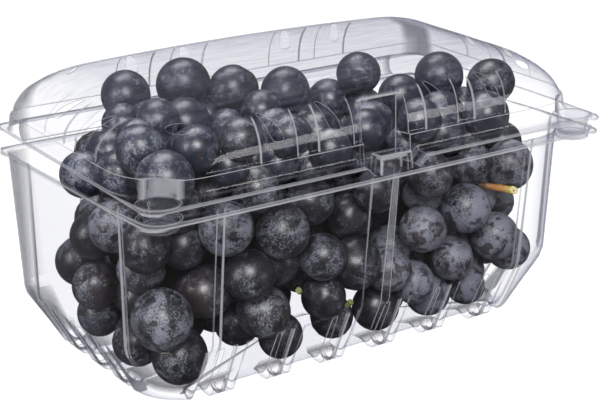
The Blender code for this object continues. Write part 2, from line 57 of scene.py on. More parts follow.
def linear(hexColour):
    # sRGB hex to the linear values that a shader takes
    values = [int(hexColour[k:k + 2], 16) / 255 for k in (1, 3, 5)]
    return tuple(v / 12.92 if v <= 0.04045 else ((v + 0.055) / 1.055) ** 2.4 for v in values) + (1,)


def addNode(tree, kind, inputs=None, links=None, **settings):
    # adds a node, sets its properties and inputs, and links inputs from other nodes: from their
    # first output, or the one that is named
    node = tree.nodes.new("ShaderNode" + kind)
    for key, value in settings.items():
        setattr(node, key, value)
    for key, value in (inputs or {}).items():
        node.inputs[key].default_value = value
    for key, source in (links or {}).items():
        source, output = source if isinstance(source, tuple) else (source, 0)
        tree.links.new(source.outputs[output], node.inputs[key])
    return node


def emptyTree(owner):
    owner.use_nodes = True
    owner.node_tree.nodes.clear()
    return owner.node_tree


def newMaterial(name):
    material = bpy.data.materials.new(name)
    return material, emptyTree(material)


def writeAttribute(item, name, values):
    item.data.attributes.new(name, "FLOAT", "POINT").data.foreach_set("value", values)


def pickOnly(item):
    bpy.ops.object.select_all(action="DESELECT")
    item.select_set(True)
    bpy.context.view_layer.objects.active = item


def addShape(operator, name, **settings):
    # a new mesh form, with everything else deselected
    bpy.ops.object.select_all(action="DESELECT")
    operator(**settings)
    item = bpy.context.object
    item.name = name
    return item


def joinAll(pieces, name):
    pickOnly(pieces[0])
    for piece in pieces:
        piece.select_set(True)
    bpy.ops.object.join()
    pieces[0].name = name
    return pieces[0]


def choose(item, kind, test):
    # in edit mode, selects the faces or edges that pass the test and nothing else
    bpy.ops.mesh.select_all(action="DESELECT")
    bpy.ops.mesh.select_mode(type=kind)
    body = bmesh.from_edit_mesh(item.data)
    for part in body.faces if kind == "FACE" else body.edges:
        part.select = test(part)
    bmesh.update_edit_mesh(item.data)


def faceOut(item):
    pickOnly(item)
    bpy.ops.object.mode_set(mode="EDIT")
    bpy.ops.mesh.select_all(action="SELECT")
    bpy.ops.mesh.normals_make_consistent(inside=False)
    bpy.ops.object.mode_set(mode="OBJECT")


def applyModifier(item, kind, **settings):
    pickOnly(item)
    modifier = item.modifiers.new(kind.title(), kind)
    for key, value in settings.items():
        setattr(modifier, key, value)
    bpy.ops.object.modifier_apply(modifier=modifier.name)


def thicken(item, wall):
    applyModifier(item, "SOLIDIFY", thickness=wall, offset=-1, use_quality_normals=True)


def shadeSmooth(item, degrees):
    pickOnly(item)
    bpy.ops.object.shade_smooth_by_angle(angle=math.radians(degrees))


# Camera, where the photo was taken from
cameraSpec = {
    "place": Vector((-0.304228, -0.444077, 0.228255)),
    "azimuth": -34.344,
    "elevation": 18.768,
    "roll": -0.679,
    "lens": 92.92,
}


def makeCamera():
    spec = cameraSpec
    data = bpy.data.cameras.new("camera")
    data.lens = spec["lens"]
    data.clip_start = 0.01
    camera = bpy.data.objects.new("camera", data)
    bpy.context.scene.collection.objects.link(camera)
    bpy.context.scene.camera = camera
    turn = Matrix.Rotation(math.radians(spec["azimuth"]), 4, "Z")
    turn = turn @ Matrix.Rotation(math.radians(90 - spec["elevation"]), 4, "X")
    turn = turn @ Matrix.Rotation(math.radians(spec["roll"]), 4, "Z")
    camera.matrix_world = Matrix.Translation(spec["place"]) @ turn


makeCamera()
print("camera placed")

# A small product studio: white board and air, and soft boxes that the plastic mirrors
studio = {
    "board": "#FFFFFF",
    "mirroredBoard": (0.25, 0.25, 0.26, 1),
    "air": 1.2,
    "fillAir": 0.6,
    "mirroredAir": 0.17,
    "crossings": 32,
    "lamps": [
        # name, place, aimed at, width, height, power, and whether it lights the fruit alone
        ("frontBox", (-0.45, -0.75, 0.70), (0, 0, 0.06), 0.50, 0.40, 18, True),
        ("leftBox", (-0.95, -0.05, 0.40), (0, 0, 0.05), 0.22, 0.50, 6, True),
        ("topBox", (0.0, 0.30, 0.95), (0, 0, 0.05), 0.8, 0.5, 14, True),
        ("shoulderStrip", (0.48, -0.78, 0.105), (0.02, -0.05, 0.085), 0.40, 0.19, 0.9, False),
    ],
}


def makeStudio():
    scene = bpy.context.scene
    scene.view_settings.view_transform = "Standard"
    scene.cycles.transparent_max_bounces = studio["crossings"]
    scene.world = bpy.data.worlds.new("studioAir")
    tree = emptyTree(scene.world)
    path = addNode(tree, "LightPath")
    seen, fill, mirrored = (
        addNode(tree, "Background", {"Color": (1, 1, 1, 1), "Strength": studio[key]})
        for key in ("air", "fillAir", "mirroredAir"))
    soft = addNode(tree, "MixShader", links={0: (path, "Is Diffuse Ray"), 1: seen, 2: fill})
    both = addNode(tree, "MixShader", links={0: (path, "Is Glossy Ray"), 1: soft, 2: mirrored})
    addNode(tree, "OutputWorld", links={"Surface": both})

    floor = addShape(bpy.ops.mesh.primitive_plane_add, "floor", size=8, location=(0, 0, -0.0003))
    material, tree = newMaterial("white painted board")
    path = addNode(tree, "LightPath")
    painted = addNode(tree, "BsdfDiffuse", {"Color": linear(studio["board"])})
    lit = addNode(tree, "Emission", {"Color": linear(studio["board"]), "Strength": studio["air"]})
    dim = addNode(tree, "BsdfDiffuse", {"Color": studio["mirroredBoard"]})
    both = addNode(tree, "MixShader", links={0: (path, "Is Glossy Ray"), 1: painted, 2: dim})
    board = addNode(tree, "MixShader", links={0: (path, "Is Camera Ray"), 1: both, 2: lit})
    addNode(tree, "OutputMaterial", links={"Surface": board})
    floor.data.materials.append(material)
    fruit = bpy.data.collections.new("fruit")
    scene.collection.children.link(fruit)
    for name, place, target, width, height, power, fruitOnly in studio["lamps"]:
        lamp = bpy.data.lights.new(name, "AREA")
        lamp.shape = "RECTANGLE"
        lamp.size = width
        lamp.size_y = height
        lamp.energy = power
        item = bpy.data.objects.new(name, lamp)
        scene.collection.objects.link(item)
        item.location = place
        item.visible_camera = False
        if fruitOnly:
            item.light_linking.receiver_collection = fruit
        item.rotation_euler = (Vector(place) - Vector(target)).to_track_quat("Z", "Y").to_euler()
    return fruit


fruit = makeStudio()
print("studio lit")

# PET sheet, thermoformed: clear and glossy, with a faint lavender cast seen edge-on and through many
# layers. Where the sheet is bent sharply a pale line is painted on it: a painted highlight that stands
# in for the light the bend refracts and mirrors.
petSheet = {
    "clear": "#FFFFFF",
    # colour of the painted highlight along folds and punched edges
    "edgeOn": "#EDEEF6",
    "paintedEdgeLight": "#E9EAF0",
    "foldHighlightShare": 0.6,
    "mirror": 0.03,
    "mirrorEdge": 0.5,
    "roughness": 0.035,
    "haze": 0.05,
    "hazeColour": "#B4BBD4",
    # streaks per metre along X, Y and Z: real ones are finer and wouldn't show, so these are 2 mm wide
    "streaks": (60, 420, 420),
    # share of the painted glow on the punched edges
    "punchedGlowShare": 0.7,
}


def makePet(name, haze):
    # it mirrors more at a slant, has a painted pale highlight along its folds and, on the lid, has a veil of
    # streaks
    material, tree = newMaterial(name)
    look = addNode(tree, "LayerWeight", {"Blend": 0.5})
    steep = addNode(tree, "Math", {1: 5.0}, {0: (look, "Facing")}, operation="POWER")
    mirror = addNode(tree, "Math", {1: petSheet["mirrorEdge"], 2: petSheet["mirror"]}, {0: steep},
                     operation="MULTIPLY_ADD")
    slant = addNode(tree, "Math", {1: 2.5}, {0: (look, "Facing")}, operation="POWER")
    tint = addNode(tree, "Mix", {6: linear(petSheet["clear"]), 7: linear(petSheet["edgeOn"])}, {0: slant},
                   data_type="RGBA")
    through = addNode(tree, "BsdfTransparent", links={"Color": (tint, 2)})
    gloss = addNode(tree, "BsdfGlossy", {"Roughness": petSheet["roughness"]})
    sheet = addNode(tree, "MixShader", links={0: mirror, 1: through, 2: gloss})
    # painted highlight: a pale diffuse colour mixed in by the fold attribute
    paintedFoldLight = addNode(tree, "BsdfDiffuse", {"Color": linear(petSheet["paintedEdgeLight"])})
    fold = addNode(tree, "Attribute", attribute_name="fold")
    share = addNode(tree, "Math", {1: petSheet["foldHighlightShare"]}, {0: (fold, "Fac")}, operation="MULTIPLY")
    if haze:
        place = addNode(tree, "TexCoord")
        drawn = addNode(tree, "Mapping", {"Scale": petSheet["streaks"]}, {"Vector": (place, "Object")})
        streaks = addNode(tree, "TexNoise", {"Scale": 1.0, "Detail": 3.0}, {"Vector": drawn})
        thin = addNode(tree, "MapRange",
                       {"From Min": 0.42, "From Max": 0.78, "To Min": 0.0, "To Max": petSheet["haze"] * 2},
                       {"Value": streaks})
        patch = addNode(tree, "Attribute", attribute_name="haze")
        veil = addNode(tree, "Math", links={0: thin, 1: (patch, "Fac")}, operation="MULTIPLY")
        pale = addNode(tree, "BsdfDiffuse", {"Color": linear(petSheet["hazeColour"])})
        sheet = addNode(tree, "MixShader", links={0: veil, 1: sheet, 2: pale})
    whole = addNode(tree, "MixShader", links={0: share, 1: sheet, 2: paintedFoldLight})
    addNode(tree, "OutputMaterial", links={"Surface": whole})
    return material


def makeCutEdge():
    # a punched edge of the sheet, with a painted glow: a thin pale rim for the light that the cut edge
    # gathers
    material, tree = newMaterial("painted glow on the cut edge of the PET sheet")
    through = addNode(tree, "BsdfTransparent", {"Color": linear(petSheet["clear"])})
    pale = addNode(tree, "BsdfPrincipled", {"Base Color": linear(petSheet["paintedEdgeLight"]), "Roughness": 0.3})
    edge = addNode(tree, "MixShader", {0: petSheet["punchedGlowShare"]}, {1: through, 2: pale})
    addNode(tree, "OutputMaterial", links={"Surface": edge})
    return material


trayPet = makePet("thermoformed clear PET, tray", haze=False)
lidPet = makePet("thermoformed clear PET, lid", haze=True)
cutEdgeGlow = makeCutEdge()
print("plastic mixed")

# Sizes that tray and lid share, as in the frame
box = {
    "flangeHalf": Vector((95, 56)) * mm,
    "flangeWidth": 7 * mm,
    "flangeCorner": 5.2 * mm,
    "flangeBackCorner": 3 * mm,
    "trayFlange": 73.1 * mm,
    "lidFlange": 78 * mm,
    "lidTop": 100.8 * mm,
    "lidTilt": 0.035,
    "sheet": 0.3 * mm,
    "buttonCentre": Vector((86.7, -47.6)) * mm,
    "snapY": -51.9 * mm,
}


def cornerPoints(halfX, halfY, radius, startX, endY, steps):
    # evenly spaced points round the +X +Y corner, from x = startX on the long side to y = endY
    straightX, straightY = halfX - radius, halfY - radius
    first, last = max(straightX - startX, 0), max(straightY - endY, 0)
    angleStart = math.asin(min(max((startX - straightX) / radius, 0), 1))
    angleEnd = math.pi / 2 - math.asin(min(max((endY - straightY) / radius, 0), 1))
    arc = radius * (angleEnd - angleStart)
    points = []
    for k in range(1, steps):
        way = k / steps * (first + arc + last)
        angle = angleStart + (way - first) / radius
        if way < first:
            points.append((startX + way, halfY))
        elif way > first + arc:
            points.append((halfX, straightY - (way - first - arc)))
        else:
            points.append((straightX + radius * math.sin(angle), straightY + radius * math.cos(angle)))
    return points


def onSide(halfLong, halfAcross, radius, along):
    # how far out the side lies at this place along it, also where it has begun to turn
    past = min(max(abs(along) - (halfLong - radius), 0), radius)
    return halfAcross - radius + math.sqrt(radius**2 - past**2)


def outline(halfX, halfY, front, back, stations):
    # points of one outline, anticlockwise seen from above, from the left end of the front
    alongX, alongY, frontSteps, backSteps = stations
    turn = cornerPoints(halfX, halfY, front, alongX[-1], -alongY[0], frontSteps)
    turnBack = cornerPoints(halfX, halfY, back, alongX[-1], alongY[-1], backSteps)
    right = [(x, -y) for x, y in turn]
    right += [(onSide(halfY, halfX, front if y < 0 else back, y), y) for y in alongY]
    right += reversed(turnBack)
    points = [(x, -onSide(halfX, halfY, front, x)) for x in alongX] + right
    points += [(x, onSide(halfX, halfY, back, x)) for x in reversed(alongX)]
    return np.array(points + [(-x, y) for x, y in reversed(right)])


def outwards(points):
    # the way straight out of the outline at each of its points, and whether it is more along Y
    ahead = np.roll(points, -1, axis=0) - np.roll(points, 1, axis=0)
    out = np.stack([ahead[:, 1], -ahead[:, 0]], axis=1)
    out /= np.linalg.norm(out, axis=1, keepdims=True)
    return out, np.abs(out[:, 1]) > np.abs(out[:, 0])


def smooth(share):
    share = np.clip(share, 0, 1)
    return share * share * (3 - 2 * share)


def raised(along, centres, half, flank):
    # 1 inside each rib or groove, 0 outside it, and a straight flank between
    shares = [np.clip((half + flank - np.abs(along - centre)) / flank, 0, 1) for centre in centres]
    return np.max(shares, axis=0)


def flankStations(centres, half, flank, guard=0.16 * mm):
    # stations at both folds of each flank, with one on either side of a fold, so that it stays narrow
    steps = [half - guard, half, half + flank, half + flank + guard]
    if flank > 3 * guard:
        steps += [half + guard, half + flank - guard]
    steps = [side * step for step in steps if step > 0 for side in (-1, 1)]
    return [centre + step for centre in centres for step in steps]


def spread(stations, least=0.08 * mm):
    # sorted stations, without those that nearly meet
    kept = []
    for value in sorted(stations):
        if not kept or value - kept[-1] >= least:
            kept.append(value)
    return kept


def turnAt(before, fold, after):
    # degrees by which the tray's wall turns at this level, or a rib of its foot where that is more
    turns = []
    for rib in (0, 1):
        ways = []
        for low, high in ((before, fold), (fold, after)):
            step = high - low
            ways.append(math.degrees(math.atan2(step[3] - step[6] * rib, step[0] - step[2] + step[5] * rib)))
        turns.append(abs((ways[1] - ways[0] + 180) % 360 - 180))
    return max(turns)


def softened(levels, guard=0.16 * mm, turnOf=None):
    # rounds the fold at each level by the radius in its last column. A sharp fold gets two rows and
    # one more just before and after it, so that it stays narrow.
    rows = [levels[0]]
    for before, fold, after in zip(levels, levels[1:], levels[2:]):
        radius = fold[-1]
        steps = 1 if radius < guard else 10
        if turnOf and steps > 1:
            steps = min(math.ceil(turnOf(before, fold, after) / 7) + 1, 10)
        cuts = []
        guards = []
        for other in (before, after):
            length = np.linalg.norm((other - fold)[:4])
            cuts.append(fold + (other - fold) * min(radius / length, 0.36))
            guards.append(fold + (other - fold) * min((radius + guard) / length, 0.45))
        rows.append(guards[0])
        for k in range(steps + 1):
            t = k / steps
            rows.append(cuts[0] * (1 - t) ** 2 + fold * 2 * t * (1 - t) + cuts[1] * t**2)
        rows.append(guards[1])
    rows.append(levels[-1])
    return rows


def closingRings(ring, height):
    # smaller copies of the last ring towards its middle, at the height that each place has
    middle = ring[:, :2].mean(axis=0)
    rings = []
    for share in (0.85, 0.65, 0.45, 0.25, 0.05):
        flat = middle + (ring[:, :2] - middle) * share
        rings.append(np.column_stack([flat, height(flat)]))
    return rings


def flared(wall, rim, flange):
    # the wall's outline moved out to the flange's rim by a share of the flange's width
    share = flange / box["flangeWidth"]
    return wall * (1 - share) + rim * share


def wrapGrid(name, rings):
    # a grid wrapped round the rings: one row of its points for each, with the seam closed
    count, last = len(rings[0]), len(rings) - 1
    shell = addShape(bpy.ops.mesh.primitive_grid_add, name, x_subdivisions=count, y_subdivisions=last, size=2)
    grid = np.empty(len(shell.data.vertices) * 3)
    shell.data.vertices.foreach_get("co", grid)
    grid = grid.reshape(-1, 3)
    column = np.rint((grid[:, 0] + 1) / 2 * count).astype(int) % count
    row = np.rint((grid[:, 1] + 1) / 2 * last).astype(int)
    places = np.array(rings)[row, column]
    places[:, 1] += centreShift
    shell.data.vertices.foreach_set("co", places.ravel())
    start = Vector(rings[-1][0]) + centring
    bpy.ops.object.mode_set(mode="EDIT")
    bpy.ops.mesh.select_all(action="SELECT")
    bpy.ops.mesh.remove_doubles(threshold=1e-6)

    def bySeam(edge):
        return edge.is_boundary and min((vert.co - start).length for vert in edge.verts) < 1e-6

    choose(shell, "EDGE", bySeam)
    bpy.ops.mesh.loop_multi_select(ring=False)
    bpy.ops.mesh.edge_face_add()
    bpy.ops.object.mode_set(mode="OBJECT")
    return shell


def turnOut(item, capSide):
    # faces point out of the open shell: its flat cap faces up (1) or down (-1)
    faceOut(item)
    cap = max(item.data.polygons, key=lambda face: len(face.vertices))
    if cap.normal.z * capSide < 0:
        bpy.ops.object.mode_set(mode="EDIT")
        bpy.ops.mesh.flip_normals()
        bpy.ops.object.mode_set(mode="OBJECT")


def cut(item, cutter, operation="DIFFERENCE"):
    applyModifier(item, "BOOLEAN", operation=operation, solver="EXACT", object=cutter)
    bpy.data.objects.remove(cutter, do_unlink=True)


def markFolds(item, low=9, high=22):
    # the attribute that the plastic reads for its painted fold highlight: 1 where faces meet at a sharp
    # angle, 0 where it is even
    body = bmesh.new()
    body.from_mesh(item.data)
    amounts = []
    for vert in body.verts:
        turns = [edge.calc_face_angle(0) for edge in vert.link_edges if len(edge.link_faces) == 2]
        bend = math.degrees(max(turns, default=0))
        amounts.append(min(max((bend - low) / (high - low), 0), 1))
    body.free()
    writeAttribute(item, "fold", amounts)


def gridStations(alongX, alongY, frontSteps, backSteps):
    # stations for outlines, and the outline of the flange's rim at them
    stations = (spread(alongX), spread(alongY), frontSteps, backSteps)
    return stations, outline(*box["flangeHalf"], box["flangeCorner"], box["flangeBackCorner"], stations)


def formShell(node, rings, height, capSide):
    # the sheet through the rings: closed at the height given, with its folds marked, and thickened
    shell = wrapGrid(node + "_shell", rings + closingRings(rings[-1], height))
    turnOut(shell, capSide)
    markFolds(shell)
    thicken(shell, box["sheet"])
    return shell


def moulded(item, node):
    # a form of clear sheet that belongs to the tray or the lid
    if "fold" not in item.data.attributes:
        markFolds(item, 20, 40)
    shadeSmooth(item, 35)
    if not item.data.materials:
        item.data.materials.append(trayPet if node == "tray" else lidPet)
    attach(item, "box" if node == "tray" else "lid")


# Tray: flange with a lip, flat panels with grooves between them, ledge and fluted foot
traySpec = {
    "half": Vector((93.8, 49)) * mm,
    "frontRadius": 28.6 * mm,
    "backRadius": 2.5 * mm,
    "ledge": 21 * mm,
    "ribsX": [x * mm for x in (-57.2, -34.3, -11.4, 11.4, 34.3, 57.2)],
    "ribsY": [y * mm for y in (-12, 5, 22)],
    "groovesX": [x * mm for x in (-65, 65)],
    "groovesY": [y * mm for y in (-31, 31)],
    # half the width of each, and the width of its flank
    "rib": (4.4 * mm, 1.2 * mm),
    "seam": (0.35 * mm, 0.35 * mm),
    "groove": (1.2 * mm, 0.3 * mm),
    "sideGroove": (0.4 * mm, 0.3 * mm),
    "middle": (4.2 * mm, 1.6 * mm),
    "seamDepth": 0.3,
    "cornerFoot": Vector((66.8, -19.2, 29.2)) * mm,
}
# The tray's levels from the lip down, in mm: share of the flange (in widths of 7 mm), inset at the
# ends, inset front and back, height, shift back, ribs, ribs' drop, grooves, middle groove, fold radius
trayLevels = [
    (6.7, 0, 0, 71.8, 0, 0, 0, 0, 0, 0),
    (6.7, 0, 0, 72.5, 0, 0, 0, 0, 0, 0.15),
    (5.7, 0, 0, 72.5, 0, 0, 0, 0, 0, 0.08),
    (5.4, 0, 0, 72.8, 0, 0, 0, 0, 0, 0.08),
    (0, 0, 0, 72.8, 0, 0, 0, 0.3, 1.0, 1.6),
    (0, 0.75, 3.2, 24.2, 1.9, 0, 0, 0.8, 2.6, 0.08),
    (0, 1.2, 3.9, 22.0, 2.1, 0, 0, 0.6, 2.0, 0.08),
    (0, 2.4, 5.1, 20.6, 2.3, 0.9, 0, 0.1, 1.0, 0.5),
    (0, 11.5, 9.5, 6.5, 5.2, 1.7, 0, 0, 0.3, 4),
    (0, 14.6, 11.1, 3.1, 6.2, 2.0, 1.9, 0, 0, 1),
    (0, 16.7, 12.7, 2.2, 6.5, 1.7, 2.2, 0, 0, 0.8),
    (0, 17.7, 14.5, 2.2, 6.5, 0, 2.2, 0, 0, 0.5),
    (0, 18.8, 16.6, 2.2, 6.5, 0, 0, 0, 0, 0.5),
]


def ribShares(along, centres):
    # ribs of the foot, each split in two lobes by a narrow seam
    seams = raised(along, centres, *traySpec["seam"])
    return raised(along, centres, *traySpec["rib"]) - seams * traySpec["seamDepth"]


def makeTray():
    spec = traySpec
    foot = spec["cornerFoot"]
    flank = spec["rib"][1]
    frontX = spec["ribsX"] + spec["groovesX"] + [0]
    frontX += flankStations(spec["ribsX"], *spec["rib"]) + flankStations(spec["ribsX"], *spec["seam"])
    frontX += flankStations(spec["groovesX"], *spec["groove"]) + flankStations([0], *spec["middle"])
    frontX += [side * (foot.x + step) for side in (-1, 1) for step in (0, 0.6 * mm, 1.2 * mm)]
    sideY = spec["ribsY"] + [y * mm for y in range(-29, -18)]
    sideY += flankStations(spec["ribsY"], *spec["rib"]) + flankStations(spec["ribsY"], *spec["seam"])
    sideY += flankStations(spec["groovesY"], *spec["sideGroove"])
    stations, rim = gridStations(frontX, sideY, 22, 8)
    rings = []
    for level in softened([np.array(row) * mm for row in trayLevels], turnOf=turnAt):
        flange, insetX, insetY, z, shift, rib, drop, groove, middle, _ = level
        wall = outline(spec["half"].x - insetX, spec["half"].y - insetY, spec["frontRadius"] - insetY,
                       spec["backRadius"] + insetY * 0.4, stations)
        out, facesFront = outwards(wall)
        x, y = wall.T
        endFoot = smooth((np.abs(x) - foot.x) / flank)
        sideFoot = smooth(np.maximum(foot.y - y, y - foot.z) / flank)
        ribs = np.where(facesFront, np.maximum(ribShares(x, spec["ribsX"]), endFoot),
                        np.maximum(ribShares(y, spec["ribsY"]), sideFoot))
        grooves = np.where(facesFront, raised(x, spec["groovesX"], *spec["groove"]),
                           raised(y, spec["groovesY"], *spec["sideGroove"]))
        channel = np.where(facesFront, raised(x, [0], *spec["middle"]), 0)
        wall = wall + out * (rib * ribs - groove * grooves - middle * channel)[:, None]
        wall[:, 1] += shift
        rings.append(np.column_stack([flared(wall, rim, flange), z - drop * ribs]))
    return formShell("tray", rings, lambda flat: np.full(len(flat), trayLevels[-1][3] * mm), -1)


tray = makeTray()
moulded(tray, "tray")
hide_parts("tray")
print("tray formed,", len(tray.data.polygons), "faces")

# Lid: flange with a lip, low wall, ledge, rounded shoulder with bands beside the vents, crowned top
lidSpec = {
    "half": Vector((94, 50)) * mm,
    "frontRadius": 23.5 * mm,
    "backRadius": 6 * mm,
    "ledge": 83.8 * mm,
    "shoulder": 85 * mm,
    "shoulderInset": 1.6 * mm,
    "topInset": Vector((26, 12)) * mm,
    "topCornerGrow": 12 * mm,
    "crown": 1.6 * mm,
    "crownReach": 70 * mm,
    "recessDepth": 5.6 * mm,
    "bandsX": [x * mm for x in (-42.5, -20.05, 24.45, 45.95)],
    "bandsY": [y * mm for y in (-11, 11)],
    "bandProud": 0.35 * mm,
    # half the width of the recess, of the flange's dip before it and of a band, each with its flank
    "recess": (7.4 * mm, 2.4 * mm),
    "dip": (9.4 * mm, 3.4 * mm),
    "band": (6.9 * mm, 0.35 * mm),
    "buttonNotch": 6.3 * mm,
    "haze": (90 * mm, 96 * mm),
    "frameShoulder": 86.5 * mm,
}


def lidRise(y):
    # the lid rests tilted: it lies higher towards the hinge
    return box["lidTilt"] * (y + box["flangeHalf"].y)


def shoulderAt(turn):
    spec = lidSpec
    start = Vector((spec["shoulderInset"], spec["shoulderInset"]))
    inset = start.lerp(spec["topInset"], 1 - math.cos(turn))
    return inset, spec["shoulder"] + (box["lidTop"] - spec["shoulder"]) * math.sin(turn)


def lidLevels():
    # rows in metres: share of the flange, inset at the ends, inset front and back, height, corner
    # growth, dip of the flange, bands, notch for the buttons, fold radius
    spec = lidSpec
    flange = [(7, -1.1, 0), (7, -0.35, 0.15), (5.9, -0.35, 0.08), (5.5, 0, 0.08), (0, 0, 1.6)]
    rows = [(a * mm, 0, 0, box["lidFlange"] + z * mm, 0, 1, 0, 1, fold * mm) for a, z, fold in flange]
    rows.append((0, 0.6 * mm, 0.6 * mm, spec["ledge"], 0, 0, 0, 1, 0.08 * mm))
    rows.append((0, 1.5 * mm, 1.5 * mm, spec["ledge"] + 0.5 * mm, 0, 0, 0.6, 0.6, 0.4 * mm))
    steps = 30
    for k in range(steps + 1):
        turn = math.pi / 2 * k / steps
        inset, z = shoulderAt(turn)
        fade = min(max((1.12 - turn) / 0.25, 0), 1)
        rows.append((0, inset.x, inset.y, z, math.sin(turn), 0, fade, 0, 0))
    rows = [np.array(row) for row in rows]
    return softened(rows[:8]) + rows[8:]


def makeLid():
    spec = lidSpec
    frontX = [x * mm for x in range(-58, 59, 4)] + flankStations(spec["bandsX"], *spec["band"])
    frontX += flankStations([0], *spec["recess"]) + flankStations([0], *spec["dip"])
    sideY = [y * mm for y in range(-18, 25, 3)] + flankStations(spec["bandsY"], *spec["band"])
    stations, rim = gridStations(frontX, sideY, 26, 14)
    dipDepth = box["lidFlange"] - box["trayFlange"] - 2 * 0.6 * mm - 0.4 * mm
    buttonX, buttonY = box["buttonCentre"]

    def crownDrop(flat):
        return spec["crown"] * (flat[:, 0] / spec["crownReach"]) ** 2

    rings = []
    for flange, insetX, insetY, z, grow, dip, band, notch, _ in lidLevels():
        wall = outline(spec["half"].x - insetX, spec["half"].y - insetY,
                       spec["frontRadius"] + grow * spec["topCornerGrow"],
                       max(spec["backRadius"] + grow * 3 * mm, 3 * mm), stations)
        out, facesFront = outwards(wall)
        x, y = wall.T
        bands = np.where(facesFront, raised(x, spec["bandsX"], *spec["band"]),
                         raised(y, spec["bandsY"], *spec["band"]))
        depth = max(spec["recessDepth"] - insetY, 0)
        recess = np.where((y < 0) & facesFront, raised(x, [0], *spec["recess"]), 0)
        wall = wall + out * (band * bands * spec["bandProud"] - recess * depth)[:, None]
        if notch:
            reach = spec["buttonNotch"] * notch
            centre = np.column_stack([np.copysign(buttonX, x), np.full(len(x), buttonY)])
            off = wall - centre
            away = np.linalg.norm(off, axis=1, keepdims=True)
            wall = np.where(away < reach, centre + off / away * reach, wall)
        flat = flared(wall, rim, flange)
        dips = np.where(flat[:, 1] < -box["flangeHalf"].y * 0.6, raised(x, [0], *spec["dip"]), 0) * dip
        lip = z - box["lidFlange"] if flange > 0 else 0
        height = z + lidRise(flat[:, 1]) - dips * dipDepth - dips * min(lip, 0) - grow * crownDrop(flat)
        rings.append(np.column_stack([flat, height]))
    return formShell("lid", rings, lambda flat: box["lidTop"] + lidRise(flat[:, 1]) - crownDrop(flat), 1)


# Vents in the lid's shoulder: slots like leaves, pointed at the top, and an oval at each corner
ventSpec = {
    "slotsX": [x * mm for x in (-44.6, -22.2, 22.8, 46.2)],
    "slotsY": [y * mm for y in (-11, 11)],
    "slot": Vector((5.6, 10.4)) * mm,
    "lean": 4.6 * mm,
    "bow": 1.6 * mm,
    "square": 0.62,
    "topWidth": 0.42,
    "turn": math.radians(40),
    "corner": Vector((70.5, 35)) * mm,
    "oval": Vector((9.5, 5)) * mm,
    "deep": 9 * mm,
}


def ventCutter(place, out, size, lean):
    # a rounded block across the shoulder. A leaf leans sideways, bows and narrows to its top; one
    # without a lean is a plain oval.
    spec = ventSpec
    cutter = addShape(bpy.ops.mesh.primitive_cylinder_add, "vent", vertices=36, radius=1, depth=spec["deep"],
                      end_fill_type="NGON")
    for vert in cutter.data.vertices:
        angle = math.atan2(vert.co.y, vert.co.x)
        power = spec["square"] if lean else 1
        x, y = (math.copysign(abs(f) ** power, f) / 2 for f in (math.cos(angle), math.sin(angle)))
        if lean:
            x *= 1 - (1 - spec["topWidth"]) * (y + 0.5)
            x += (lean * y + math.copysign(spec["bow"], lean) * (0.25 - y * y) * -1) / size.x
        vert.co.x, vert.co.y = x * size.x, y * size.y
    out = Vector((*out, 0)).normalized()
    across = Vector((-out.y, out.x, 0)).normalized()
    normal = (out + Vector((0, 0, 1))).normalized()
    turn = Matrix((across, normal.cross(across), normal)).transposed().to_4x4()
    middle = Vector(place) + Vector((0, centreShift, lidRise(place[1])))
    cutter.data.transform(Matrix.Translation(middle) @ turn)
    for material in (lidPet, cutEdgeGlow):
        cutter.data.materials.append(material)
    for face in cutter.data.polygons:
        face.material_index = 1
    return cutter


def ventCutters():
    spec = ventSpec
    inset, z = shoulderAt(spec["turn"])
    half, crown = lidSpec["half"], lidSpec["crown"]
    vents = []
    for side in (-1, 1):
        for x in spec["slotsX"]:
            vents.append(((x, side * (half.y - inset.y), z), (0, side), spec["slot"], spec["lean"] * side))
        for y in spec["slotsY"]:
            place = (side * (half.x - inset.x), y, z - crown)
            vents.append((place, (side, 0), spec["slot"], spec["lean"] * -side))
        for sideY in (-1, 1):
            place = (side * spec["corner"].x, sideY * spec["corner"].y, z - crown / 2)
            vents.append((place, (side, sideY), spec["oval"], 0))
    return joinAll([ventCutter(*vent) for vent in vents], "vents")


def markHaze(item):
    # the attribute that the lid's plastic reads: 1 on the domed top, 0 on the walls and the flange
    low, high = lidSpec["haze"]
    heights = np.array([vert.co.z - lidRise(vert.co.y) for vert in item.data.vertices])
    writeAttribute(item, "haze", smooth((heights - low) / (high - low)))


lid = makeLid()
markHaze(lid)
lid.data.materials.append(lidPet)
lid.data.materials.append(cutEdgeGlow)
cut(lid, ventCutters())
moulded(lid, "lid")
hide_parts("lid")
print("lid formed,", len(lid.data.polygons), "faces")


# Snap buttons at the front corners, and the snap block in the middle of the front
snapSpec = {
    "cupRadius": 5.4 * mm,
    "draft": 0.5 * mm,
    "clear": 0.45 * mm,
    "pocketDepth": 2.6 * mm,
    "wall": 0.4 * mm,
    "half": Vector((6, 2.4, 3.1)) * mm,
    # node, name, wider than the block, above the tray's flange, taller than twice the half, draft
    "blocks": [
        ("tray", "snap_block", 0, 0.45 * mm, -0.5 * mm, 0.3 * mm),
        ("lid", "snap_cover", 1.0 * mm, 1.1 * mm, 0.1 * mm, 0.35 * mm),
    ],
    "round": 0.9 * mm,
    "rim": 0.2 * mm,
}


